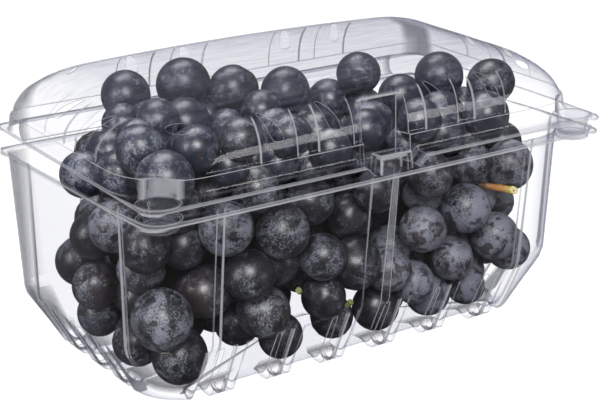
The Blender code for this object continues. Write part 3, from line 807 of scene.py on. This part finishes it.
def spunShell(name, profile, centre):
    # a thin wall spun round an upright line: the profile's (radius, z) pairs run down its outside
    radius, top = profile[0]
    shell = addShape(bpy.ops.mesh.primitive_circle_add, name, vertices=40, radius=radius,
                     location=(*centre, top))
    bpy.ops.object.transform_apply(location=True, rotation=True, scale=True)
    bpy.ops.object.mode_set(mode="EDIT")
    bpy.ops.mesh.select_all(action="SELECT")
    for (before, high), (after, low) in zip(profile, profile[1:]):
        bpy.ops.mesh.extrude_region_move(TRANSFORM_OT_translate={"value": (0, 0, low - high)})
        bpy.ops.transform.resize(value=(after / before, after / before, 1), center_override=(*centre, low))
    bpy.ops.mesh.edge_face_add()
    bpy.ops.object.mode_set(mode="OBJECT")
    faceOut(shell)
    thicken(shell, snapSpec["wall"])
    applyModifier(shell, "BEVEL", width=0.25 * mm, segments=2, limit_method="ANGLE")
    return shell


def makeButtons():
    spec = snapSpec
    flange = box["trayFlange"]
    cupTop = box["lidFlange"] + lidRise(box["buttonCentre"].y)
    low = flange - spec["pocketDepth"]
    foot = low + 1.2 * mm
    middle = (cupTop + foot) / 2
    radius, draft = spec["cupRadius"], spec["draft"]
    wide = radius + spec["clear"] + spec["wall"]
    pocket = [
        (wide + 1.2 * mm, flange + 0.55 * mm), (wide, flange + 0.3 * mm), (wide - draft, low - 0.5 * mm),
    ]
    cup = [
        (radius + 1.9 * mm, cupTop + 0.1 * mm), (radius + 0.6 * mm, cupTop + 0.05 * mm),
        (radius, cupTop - 0.7 * mm), (radius - draft * 0.4, middle + 0.3 * mm),
        (radius - draft * 0.8, middle - 0.3 * mm), (radius - draft, foot),
    ]
    for side, name in ((-1, "left"), (1, "right")):
        centre = (side * box["buttonCentre"].x, box["buttonCentre"].y + centreShift)
        moulded(spunShell("pocket_" + name, pocket, centre), "tray")
        moulded(spunShell("button_" + name, cup, centre), "lid")


makeButtons()


def snapBlock(name, half, low, height, draft):
    # a block with round edges and no floor, formed in the flange
    shell = addShape(bpy.ops.mesh.primitive_cube_add, name, size=2)
    place = Vector((0, box["snapY"] + centreShift, low + height / 2))
    shell.data.transform(Matrix.Translation(place) @ Matrix.Diagonal((half.x, half.y, height / 2, 1)))
    bpy.ops.object.mode_set(mode="EDIT")
    choose(shell, "FACE", lambda face: face.normal.z > 0.9)
    bpy.ops.transform.resize(value=(1 - draft / half.x, 1 - draft / half.y, 1), center_override=place)
    choose(shell, "FACE", lambda face: face.normal.z < -0.9)
    bpy.ops.mesh.delete(type="FACE")
    choose(shell, "EDGE", lambda edge: not edge.is_boundary)
    bpy.ops.mesh.bevel(offset=snapSpec["round"], segments=3, affect="EDGES")
    # an inset rim round each big face keeps the painted fold highlight off its middle
    choose(shell, "FACE", lambda face: face.calc_area() > 2 * snapSpec["round"] * half.z)
    bpy.ops.mesh.inset(thickness=snapSpec["rim"], use_individual=True)
    bpy.ops.object.mode_set(mode="OBJECT")
    markFolds(shell, 15, 32)
    thicken(shell, snapSpec["wall"])
    return shell


def makeSnap():
    half = snapSpec["half"]
    for node, name, grow, low, taller, draft in snapSpec["blocks"]:
        grown = half + Vector((grow, grow, 0))
        moulded(snapBlock(name, grown, box["trayFlange"] + low, 2 * half.z + taller, draft), node)


makeSnap()
print("snaps formed")

# The hinge: a thin rolled web along the back edge
hingeSpec = {"half": 84 * mm, "reach": 2.9 * mm, "wall": 0.35 * mm, "steps": 12}


def makeHinge():
    spec = hingeSpec
    low = box["trayFlange"] + 0.3 * mm
    high = box["lidFlange"] + lidRise(box["flangeHalf"].y) - 0.25 * mm
    back = box["flangeHalf"].y - 0.4 * mm
    middle = (low + high) / 2
    web = addShape(bpy.ops.mesh.primitive_grid_add, "hinge_web", x_subdivisions=42,
                   y_subdivisions=spec["steps"], size=2)
    for vert in web.data.vertices:
        turn = vert.co.y * math.pi / 2
        y = back + spec["reach"] * math.cos(turn) + centreShift
        vert.co = Vector((vert.co.x * spec["half"], y, middle + (high - low) / 2 * math.sin(turn)))
    faceOut(web)
    thicken(web, spec["wall"])
    markFolds(web, 30, 60)
    shadeSmooth(web, 40)
    web.data.materials.append(lidPet)
    y = back + spec["reach"] + centreShift
    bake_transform(web)
    return web


makeHinge()
print("hinge formed")

# Grapes. The seen ones are x, y, z and diameter in mm, as in the frame.
seenGrapes = [
    (-51, 38, 89, 18), (-30.5, 32, 91, 19.5), (-16, 21, 89, 18), (-38, 18.5, 81, 18),
    (1.5, 13.5, 87, 18.5), (25.5, 1, 93, 16), (59.5, -4, 88, 18), (76.5, -14, 85, 18),
    (56, -35, 80, 17.5), (18, 9.5, 82, 16), (46, 2.5, 81, 16.5), (-77, -19, 87, 16),
    (-62, -29.5, 87, 15.5), (-48.5, -34.5, 89, 14), (-30.5, -36.5, 87.5, 14.5),
    (-15.5, -38.5, 80.5, 14.5), (2, -34.5, 83.5, 15), (24.5, -36, 83.5, 15.5), (-83.5, 9.5, 72.5, 16),
    (-82.5, 5.5, 52, 17), (-80, 23, 36.5, 17.5), (-82.5, 7, 33, 16.5), (-76.5, 17.5, 17.5, 16),
    (-77, -35, 80.5, 19), (-81, -27, 56.5, 17), (-76.5, -28, 30.5, 21), (-67.5, -23, 13.5, 19.5),
    (-57, -23, 34.5, 19), (-56, -36.5, 60.5, 18), (-33.5, -36, 54.5, 18.5), (-46.5, -35, 41.5, 17.5),
    (-39, -31.5, 25.5, 18.5), (-16, -34, 41, 16.5), (-14.5, -32.5, 25.5, 16), (-28.5, -26, 12, 16),
    (13, -33.5, 30, 17), (12.5, -27, 13.5, 17.5), (27, -35.5, 42.5, 17), (47, -35.5, 46.5, 18),
    (42.5, -33.5, 27.5, 16), (63.5, -33, 31.5, 18), (76.5, -26.5, 22, 17), (68, -35, 59, 18.5),
    (37.5, -26, 12, 16.5), (55, -27, 12, 15), (2.5, -24.5, 49.5, 17), (7, -34.5, 61, 16),
    (30, -35.5, 62.5, 16.5), (-18.5, -30.5, 61, 16.5), (-41, -31.5, 69.5, 16),
]
# more, half hidden behind those, laid in the hollows once the rest has settled
hollowGrapes = [
    (-61, 22, 83.5, 15), (-55, 8, 86.5, 16), (-26, 10, 79, 14), (-12, 9, 83.5, 15), (8, 10, 76.5, 14),
    (66, 6, 78.5, 17), (-70, -4, 85.5, 14), (-49, 27, 82, 14), (-36, 36, 77.5, 14),
    (-24, 27, 79.5, 14), (28, 1, 79.5, 15), (69, -7, 74.5, 16), (-18.5, -30, 73, 13),
    (-31, -30.5, 76.5, 13.5), (-50, -29, 79, 14), (4, -28, 73, 14), (23.5, -29, 73.5, 13),
    (-65.5, -25, 53.5, 16),
]
heapSpec = {
    "eye": Vector((-304.2, -442.6, 228.3)) * mm,
    # light shows through the heap at these places, and the heap's upper outline is x and z at y = 0
    "lightSpots": [(-70.5, -44.1, 28.9), (-59.1, -43.3, 21.8), (-34.8, -44.7, 34.1), (-11.3, -43.8, 26)],
    "skyline": [
        (-97, 77), (-89, 88), (-81, 98), (-62, 98), (-52, 104), (-24, 98), (-17, 91), (-1, 92), (10, 87),
        (19, 94), (32, 91), (40, 81), (49, 83), (56, 88), (71, 89), (94, 83), (105, 73), (111, 59),
    ],
    "typical": 17.4 * mm,
    "spread": 1.4 * mm,
    "floor": 3.6 * mm,
    "top": 86 * mm,
    "pictureRight": (0.826, -0.564),
    "left": -84 * mm,
    "right": 83 * mm,
    "rounds": 90,
    "sink": 0.15 * mm,
    "moveLimit": 5 * mm,
    "firstOverlap": 4.5 * mm,
    "lastOverlap": 3.2 * mm,
    "lightMargin": 0.8 * mm,
    "frameSheet": 0.6 * mm,
    "ledgeInset": Vector((0.8, 3.4, 2)) * mm,
    "baseInset": Vector((15.5, 11.5, 6.5)) * mm,
    "bloomy": Vector((22, 0, 56)) * mm,
    "underLid": 71 * mm,
    "hiddenDepth": 15 * mm,
    "coveredBy": 5,
    "coverRise": 5 * mm,
    "coverReach": 15 * mm,
    "coreSwell": 2.5 * mm,
    "coreGrain": 4 * mm,
}


def insideLimits(z, radius):
    # how far a grape's centre may lie from the middle along X and Y at this height, and its shift
    spec = heapSpec
    room = Vector((1, 1, 0)) * (spec["frameSheet"] + 1.5 * mm + radius)
    ledge = traySpec["ledge"]
    if z < box["trayFlange"]:
        share = (box["trayFlange"] - z) / (box["trayFlange"] - ledge)
        inset = spec["ledgeInset"] * min(share, 1)
        inset += (spec["baseInset"] - spec["ledgeInset"]) * max(ledge + radius * 0.5 - z, 0) / ledge
    else:
        shoulder = lidSpec["frameShoulder"]
        rise = min(max(z + radius * 0.6 - shoulder, 0) / (box["lidTop"] - shoulder), 1)
        start = lidSpec["shoulderInset"]
        inset = Vector((1, 1, 0)) * start + lidSpec["topInset"].to_3d() * 0.8 * (1 - math.sqrt(1 - rise**2))
    return Vector((traySpec["half"].x - inset.x, traySpec["half"].y - inset.y, inset.z)) - room


def keepInside(place, radius):
    limit = insideLimits(place.z, radius)
    corner = (18 if place.y < 0 else 4) * mm
    place.x = min(max(place.x, -limit.x), limit.x)
    place.y = min(max(place.y - limit.z, -limit.y), limit.y)
    over = Vector((abs(place.x) - (limit.x - corner), abs(place.y) - (limit.y - corner)))
    if over.x > 0 and over.y > 0 and over.length > corner:
        scale = corner / over.length
        place.x = math.copysign(limit.x - corner + over.x * scale, place.x)
        place.y = math.copysign(limit.y - corner + over.y * scale, place.y)
    place.y += limit.z
    place.z = min(max(place.z, heapSpec["floor"] + radius), heapSpec["top"])


def overSkyline(place, radius):
    eye = heapSpec["eye"]
    share = eye.y / (eye.y - place.y)
    crossing = eye + (place - eye) * share
    xs, zs = zip(*heapSpec["skyline"])
    return (crossing.z + radius * share) / mm > np.interp(crossing.x / mm, xs, zs)


def leftBare(place, radius):
    # true in the corners that the heap leaves empty and where light shows through it
    right = heapSpec["pictureRight"]
    across = place.x * right[0] + place.y * right[1]
    if across - radius < heapSpec["left"] or across + radius > heapSpec["right"]:
        return True
    for spot in heapSpec["lightSpots"]:
        way = (Vector(spot) * mm - heapSpec["eye"]).normalized()
        off = place - heapSpec["eye"]
        if (off - way * off.dot(way)).length < radius + heapSpec["lightMargin"]:
            return True
    return False


def nearest(place, radius, others):
    # the gap to the nearest of the other grapes, below 0 where they overlap
    return min((place - other).length - radius - size for other, size in others)


def settleGrapes():
    # centre and radius of every grape: the seen ones stay put and the rest settle round them
    spec = heapSpec
    draw = random.Random(5)
    fixed = [(Vector(row[:3]) * mm, row[3] * mm / 2) for row in seenGrapes]
    free = []
    pitch = spec["typical"] * 0.97
    layer = 0
    z = spec["floor"] + spec["typical"] / 2
    while z < spec["top"]:
        for row, column in product(range(-4, 5), range(-7, 8)):
            shift = (row + layer) % 2 / 2
            x = (column + shift) * pitch + draw.uniform(-2, 2) * mm
            y = row * pitch * 0.87 + draw.uniform(-2, 2) * mm
            place = Vector((x, y, z + draw.uniform(-2, 2) * mm))
            radius = (spec["typical"] + draw.gauss(0, 1) * spec["spread"] * 0.6) / 2
            held = place.copy()
            keepInside(held, radius)
            moved = (held - place).length > spec["moveLimit"]
            if moved or leftBare(held, radius) or overSkyline(held, radius):
                continue
            if nearest(held, radius, fixed) > -spec["firstOverlap"]:
                free.append([held, radius])
        z += pitch * 0.82
        layer += 1
    for _ in range(spec["rounds"]):
        for place, radius in free:
            push = Vector((0, 0, -spec["sink"]))
            for others, share in ((fixed, 0.7), (free, 0.4)):
                for other, size in others:
                    gap = (place - other).length - radius - size
                    if other is not place and gap < 0:
                        push += (place - other).normalized() * -gap * share
            place += push
            keepInside(place, radius)
    settled = list(fixed)
    for place, radius in free:
        if nearest(place, radius, settled) > -spec["lastOverlap"] and not leftBare(place, radius * 0.9):
            settled.append((place, radius))
    return settled


def shows(place, radius, heap):
    # true for a grape that lies near a wall or the floor, or that has few others above it
    spec = heapSpec
    limit = insideLimits(place.z, radius)
    deep = min(limit.x - abs(place.x), limit.y - abs(place.y - limit.z), place.z - spec["floor"] - radius)
    higher = [other for other, _ in heap if other.z > place.z + spec["coverRise"]]
    above = [other for other in higher if (other - place).xy.length < spec["coverReach"]]
    return deep < spec["hiddenDepth"] or len(above) < spec["coveredBy"]


def grapeMesh(segments, rings):
    # a berry of unit radius: a little long, flat at the stalk end, with a dimple there and a tiny
    # scar at the far end
    item = addShape(bpy.ops.mesh.primitive_uv_sphere_add, "berry", segments=segments,
                    ring_count=rings, radius=1)
    for vert in item.data.vertices:
        x, y, z = vert.co
        wide = math.hypot(x, y)
        dimple = 0.07 * math.exp(-(wide / 0.2) ** 2) if z > 0 else 0.03 * math.exp(-(wide / 0.12) ** 2)
        vert.co.z = z * 1.03 - math.copysign(dimple, z)
    return item


def makeGrapes():
    draw = random.Random(9)
    fine, plain = grapeMesh(32, 20), grapeMesh(16, 12)
    pieces = []
    cores = []
    heap = settleGrapes() + [(Vector(row[:3]) * mm, row[3] * mm / 2) for row in hollowGrapes]
    for number, (place, radius) in enumerate(heap):
        seen = number < len(seenGrapes)
        tip = Vector((draw.uniform(-1, 1), draw.uniform(-1, 1), draw.uniform(-0.3, 1))).normalized()
        tone, bloom, squash = draw.random(), draw.random(), draw.uniform(0.96, 1.03)
        bloomy = place.x > heapSpec["bloomy"].x and place.z < heapSpec["bloomy"].z
        bloom = 0.8 + bloom * 0.2 if bloomy else bloom**2 * 0.75
        # grapes under the lid get painted shade and a painted bluish cast, set by height alone: less bloom,
        # and a tone below 0 that the skin turns blue
        if place.z > heapSpec["underLid"]:  # these look bluish, which a tone below 0 stands for
            tone, bloom = -tone, bloom * 0.45
        if not seen and not shows(place, radius, heap) and not leftBare(place, radius + 5 * mm):
            cores.append((place, radius))
            continue
        source = fine if seen else plain
        berry = source.copy()
        berry.data = source.data.copy()
        bpy.context.scene.collection.objects.link(berry)
        far = [math.hypot(vert.co.x, vert.co.y) + (vert.co.z > 0) for vert in berry.data.vertices]
        writeAttribute(berry, "far", far)
        writeAttribute(berry, "tone", [tone] * len(far))
        writeAttribute(berry, "bloom", [bloom] * len(far))
        turn = tip.to_track_quat("Z", "Y").to_matrix().to_4x4()
        grow = Matrix.Diagonal((radius * squash, radius / squash, radius, 1))
        berry.data.transform(Matrix.Translation(place + centring) @ turn @ grow)
        pieces.append(berry)
    for source in (fine, plain):
        bpy.data.objects.remove(source, do_unlink=True)
    heap = joinAll(pieces, "grape_heap")
    bpy.ops.object.shade_smooth()
    return heap, cores


def makeCore(cores):
    # what lies deep in the heap: one dark body under the grapes that can be seen
    swell = heapSpec["coreSwell"]
    balls = []
    for place, radius in cores:
        balls.append(addShape(bpy.ops.mesh.primitive_ico_sphere_add, "ball", subdivisions=2,
                              radius=radius + swell, location=place + centring))
    core = joinAll(balls, "heap_core")
    bpy.ops.object.transform_apply(location=True, rotation=True, scale=True)
    applyModifier(core, "REMESH", mode="VOXEL", voxel_size=heapSpec["coreGrain"])
    applyModifier(core, "DISPLACE", strength=-swell - 1 * mm, mid_level=0)
    applyModifier(core, "DECIMATE", ratio=0.3)
    return core


# Grape skin: near black, smooth and a little dull, with a waxy, pale bloom in clouds and fine specks,
# rubbed off in round spots
grapeSkin = {
    "flesh": "#0C0B0E",
    "red": "#241210",
    # colour of the painted bluish cast on the grapes under the lid
    "paintedBlueCast": "#0D1120",
    "bloom": "#7A7D8A",
    "scar": "#2B2018",
    "rough": 0.4,
    "cloudSize": 7 * mm,
    "speckSize": 0.6 * mm,
    "rubbedSize": 3.4 * mm,
}


def makeSkin():
    material, tree = newMaterial("grape skin with bloom")
    spec = grapeSkin
    place = addNode(tree, "TexCoord")
    tone, bloom, far = (addNode(tree, "Attribute", attribute_name=key) for key in ("tone", "bloom", "far"))
    noises = []
    for key, detail, rough in (("cloudSize", 4, 0.6), ("speckSize", 2, 0.75), ("rubbedSize", 1, 0.5)):
        values = {"Scale": 1 / spec[key], "Detail": detail, "Roughness": rough}
        noises.append(addNode(tree, "TexNoise", values, {"Vector": (place, "Object")}))
    clouds, specks, rubbed = noises
    # how much wax a berry has, from none (0) to all over (1)
    level = addNode(tree, "Math", {1: -0.3, 2: 0.62}, {0: (bloom, "Fac")}, operation="MULTIPLY_ADD")
    cloud = addNode(tree, "Math", links={0: clouds, 1: level}, operation="SUBTRACT")
    speck = addNode(tree, "Math", {1: 1.1, 2: -0.53}, {0: specks}, operation="MULTIPLY_ADD")
    mixed = addNode(tree, "Math", links={0: cloud, 1: speck}, operation="ADD")
    layer = addNode(tree, "MapRange", {"From Min": -0.04, "From Max": 0.2, "To Min": 0.03, "To Max": 0.6},
                    {"Value": mixed})
    bare = addNode(tree, "MapRange", {"From Min": 0.56, "From Max": 0.61, "To Min": 1.0, "To Max": 0.25},
                   {"Value": rubbed})
    wax = addNode(tree, "Math", links={0: layer, 1: bare}, operation="MULTIPLY")
    # the flesh's colour, and over it each other one by its share
    red = addNode(tree, "MapRange", {"From Min": 0.7, "To Max": 0.5}, {"Value": (tone, "Fac")})
    # the painted bluish cast, only where the tone is below 0, on the grapes under the lid
    paintedBlueCast = addNode(tree, "MapRange", {"From Max": -0.3}, {"Value": (tone, "Fac")})
    scar = addNode(tree, "MapRange", {"From Min": 0.12, "From Max": 0.08}, {"Value": (far, "Fac")})
    skin = addNode(tree, "Mix", {0: 0.0, 6: linear(spec["flesh"])}, data_type="RGBA")
    for key, share in (("red", red), ("paintedBlueCast", paintedBlueCast), ("bloom", wax), ("scar", scar)):
        skin = addNode(tree, "Mix", {7: linear(spec[key])}, {0: share, 6: (skin, 2)}, data_type="RGBA")
    dull = addNode(tree, "MapRange",
                   {"From Max": 0.6, "To Min": spec["rough"] - 0.06, "To Max": spec["rough"] + 0.2},
                   {"Value": wax})
    relief = addNode(tree, "Bump", {"Strength": 0.25, "Distance": 0.1 * mm}, {"Height": specks})
    shader = addNode(tree, "BsdfPrincipled", {"Specular IOR Level": 0.5},
                     {"Base Color": (skin, 2), "Roughness": dull, "Normal": relief})
    addNode(tree, "OutputMaterial", links={"Surface": shader})
    return material


def grained(name, colour, rough, shades=(), bright=1.35):
    # a plain colour with a grain of about 1 mm. Along a twig it turns into other shades, each
    # between two places on it.
    material, tree = newMaterial(name)
    place = addNode(tree, "TexCoord")
    grain = addNode(tree, "TexNoise", {"Scale": 900.0, "Detail": 3.0}, {"Vector": (place, "Object")})
    shade = addNode(tree, "MapRange", {"To Min": 0.6, "To Max": bright}, {"Value": grain})
    base = addNode(tree, "Mix", {0: 0.0, 6: linear(colour)}, data_type="RGBA")
    for other, low, high in shades:
        along = addNode(tree, "Attribute", attribute_name="along")
        share = addNode(tree, "MapRange", {"From Min": low, "From Max": high}, {"Value": (along, "Fac")})
        base = addNode(tree, "Mix", {7: linear(other)}, {0: share, 6: (base, 2)}, data_type="RGBA")
    varied = addNode(tree, "Mix", {0: 1.0}, {6: (base, 2), 7: shade}, data_type="RGBA",
                     blend_type="MULTIPLY")
    shader = addNode(tree, "BsdfPrincipled", {"Roughness": rough}, {"Base Color": (varied, 2)})
    addNode(tree, "OutputMaterial", links={"Surface": shader})
    return material


heap, cores = makeGrapes()
core = makeCore(cores)
heap.data.materials.append(makeSkin())
core.data.materials.append(grained("deep shade among the grapes", "#0B0A0F", 0.8))
for piece in (heap, core):
    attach(piece, "box")
    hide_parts("grapes")
    fruit.objects.link(piece)
print("grapes piled,", len(heap.data.polygons), "faces")

# The loose cut stalk at the right, and short green pedicels on two grapes
stalkSpec = {
    "start": Vector((54.5, -33.5, 53.6)) * mm,
    "end": Vector((62.9, -43.6, 52.3)) * mm,
    "cutFaces": Vector((-0.05, -0.95, 0.3)),
    "thick": 1.15 * mm,
    "thin": 1.5 * mm,
    "cutReach": 2.6 * mm,
    "pithRadius": 0.42 * mm,
    "pedicels": [(-10.2, -40.5, 23.5), (-29.2, -39.5, 32.9)],
    "pedicelRadius": 0.9 * mm,
    "oldBark": "#4A2E16",
    "bark": "#94642F",
    "youngBark": "#93843A",
    "wood": "#B9B083",
    "pith": "#4A4326",
    "green": "#5C6630",
    "pedicelLength": 2.6 * mm,
}


def makeTwig(name, start, end, thick, thin, draw, rings=14, facing=None):
    # a woody twig: a cylinder cut in short lengths, each a little off line and unevenly thick, with
    # its far end cut square or so that it faces one way
    way = end - start
    turn = way.to_track_quat("Z", "Y").to_matrix()
    facing = turn.inverted() @ (facing or way)
    slope = facing / facing.z
    twig = addShape(bpy.ops.mesh.primitive_cylinder_add, name, vertices=20, radius=1, depth=1,
                    end_fill_type="NGON")
    bpy.ops.object.mode_set(mode="EDIT")
    for k in range(1, rings):
        bpy.ops.mesh.select_all(action="SELECT")
        bpy.ops.mesh.bisect(plane_co=(0, 0, k / rings - 0.5), plane_no=(0, 0, 1))
    choose(twig, "FACE", lambda face: abs(face.normal.z) > 0.9)
    bpy.ops.mesh.inset(thickness=0.16, depth=0.02)
    bpy.ops.mesh.inset(thickness=0.62, depth=-0.03)
    bpy.ops.object.mode_set(mode="OBJECT")
    shifts = [Vector((draw.uniform(-1, 1), draw.uniform(-1, 1), 0)) * 0.1 for _ in range(rings + 2)]
    widths = [1 + draw.uniform(-0.1, 0.1) for _ in range(rings + 2)]
    alongs = []
    for vert in twig.data.vertices:
        share = min(max(vert.co.z + 0.5, 0), 1)
        number = round(share * rings)
        width = thick + (thin - thick) * share
        ripple = 1 + 0.06 * math.sin(5 * math.atan2(vert.co.y, vert.co.x) + number)
        flat = Vector((vert.co.x, vert.co.y, 0)) * widths[number] * ripple + shifts[number]
        lean = (slope.x * flat.x + slope.y * flat.y) * width * max(share - 0.7, 0) / 0.3
        vert.co = Vector((flat.x * width, flat.y * width, vert.co.z * way.length - lean))
        alongs.append(share)
    writeAttribute(twig, "along", alongs)
    twig.data.transform(Matrix.Translation((start + end) / 2 + centring) @ turn.to_4x4())
    faceOut(twig)
    applyModifier(twig, "SUBSURF", levels=1, render_levels=1)
    shadeSmooth(twig, 50)
    return twig


def makeStalks():
    spec = stalkSpec
    draw = random.Random(3)
    stalk = makeTwig("cut_stalk", spec["start"], spec["end"], spec["thick"], spec["thin"], draw,
                     facing=spec["cutFaces"])
    # dry bark, dark at the old end and olive yellow near the cut
    shades = [(spec["bark"], 0.15, 0.45), (spec["youngBark"], 0.72, 0.86)]
    stalk.data.materials.append(grained("dry bark of a grape stalk", spec["oldBark"], 0.6, shades, 1.3))
    stalk.data.materials.append(grained("pale wood of the cut", spec["wood"], 0.75))
    stalk.data.materials.append(grained("dark pith", spec["pith"], 0.8))
    end = spec["end"] + centring
    for face in stalk.data.polygons:
        away = (face.center - end).length
        if face.normal.dot(spec["cutFaces"].normalized()) > 0.9 and away < spec["cutReach"]:
            face.material_index = 2 if away < spec["pithRadius"] else 1
    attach(stalk, "box")
    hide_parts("stalk")
    fruit.objects.link(stalk)
    green = grained("fresh grape pedicel", spec["green"], 0.6)
    radius = spec["pedicelRadius"]
    for number, spot in enumerate(spec["pedicels"]):
        start = Vector(spot) * mm
        way = Vector((draw.uniform(-1, 1), -0.7, draw.uniform(-0.2, 1))).normalized()
        end = start + way * spec["pedicelLength"]
        pedicel = makeTwig("pedicel_" + str(number + 1), start, end, radius, radius * 1.3, draw, rings=4)
        pedicel.data.materials.append(green)
        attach(pedicel, "box")
        fruit.objects.link(pedicel)


makeStalks()
print("stalks laid")
